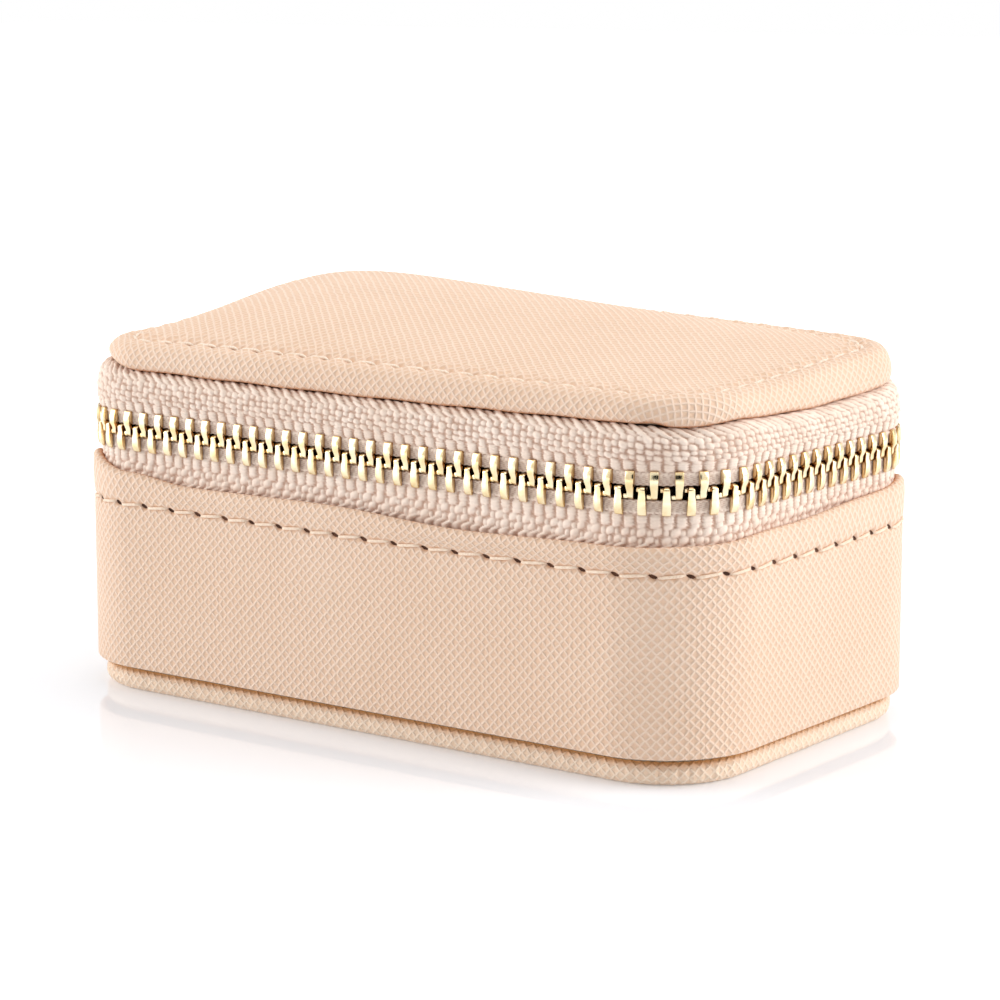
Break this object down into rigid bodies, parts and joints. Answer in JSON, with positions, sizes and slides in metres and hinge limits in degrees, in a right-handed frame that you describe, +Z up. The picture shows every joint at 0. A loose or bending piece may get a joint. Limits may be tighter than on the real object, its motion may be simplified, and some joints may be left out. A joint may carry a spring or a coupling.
{
  "type": "jewelry box",
  "caption": "Small zip-around travel jewelry case with a padded lid on a soft back hinge, ring rolls and divided compartments inside.",
  "frame": {"origin": "middle of the underside, on the surface that the case stands on", "axes": "+X along the width to the right seen from the front, -Y to the front, +Z up"},
  "size_m": [0.1106, 0.06, 0.0556],
  "materials": {
    "saffiano_leather": "cross-hatch embossed, satin",
    "velvet": "short soft pile",
    "stiff_board": "grey board",
    "zip_tape": "woven twill",
    "zip_metal": "polished pale gold",
    "slider_metal": "polished pale gold",
    "foam": "open foam",
    "mirror_glass": "silvered"
  },
  "bodies": {
    "case_base": {"base_cover": "saffiano_leather", "base_board": "stiff_board", "wall_leather": "saffiano_leather", "wall_board": "stiff_board", "tray_lining": "velvet", "divider_wall": "velvet", "cross_divider": "velvet", "ring_roll_1": "velvet", "ring_roll_2": "velvet", "ring_roll_3": "velvet", "ring_roll_4": "velvet", "tape_lower": "zip_tape", "teeth_lower": "zip_metal", "teeth_lower_left": "zip_metal", "top_stop_lower": "zip_metal", "bottom_stop": "zip_metal", "hinge_strip": "saffiano_leather"},
    "lid": {"lid_cover": "saffiano_leather", "lid_board": "stiff_board", "lid_foam": "foam", "lid_lining": "velvet", "lid_mirror": "mirror_glass", "tape_upper": "zip_tape", "teeth_upper": "zip_metal", "teeth_upper_left": "zip_metal", "top_stop_upper": "zip_metal"},
    "zip_slider": {"slider_body": "slider_metal", "slider_bridge": "slider_metal"},
    "zip_pull": {"pull_tab": "slider_metal"}
  },
  "joints": [
    {"name": "lid_hinge", "type": "hinge", "parent": "case_base", "child": "lid", "pos_m": [0, 0.02875, 0.036], "axis": [-1, 0, 0], "range_deg": [0, 105], "deforming": ["hinge_strip"]},
    {"name": "slider_run", "type": "slide", "parent": "case_base", "child": "zip_slider", "axis": [0, -1, 0], "range_m": [0, 0.02], "deforming": ["teeth_lower_left", "teeth_upper_left"]},
    {"name": "pull_swing", "type": "hinge", "parent": "zip_slider", "child": "zip_pull", "pos_m": [-0.05615, 0.01, 0.036], "axis": [0, 1, 0], "range_deg": [-4, 160]}
  ]
}
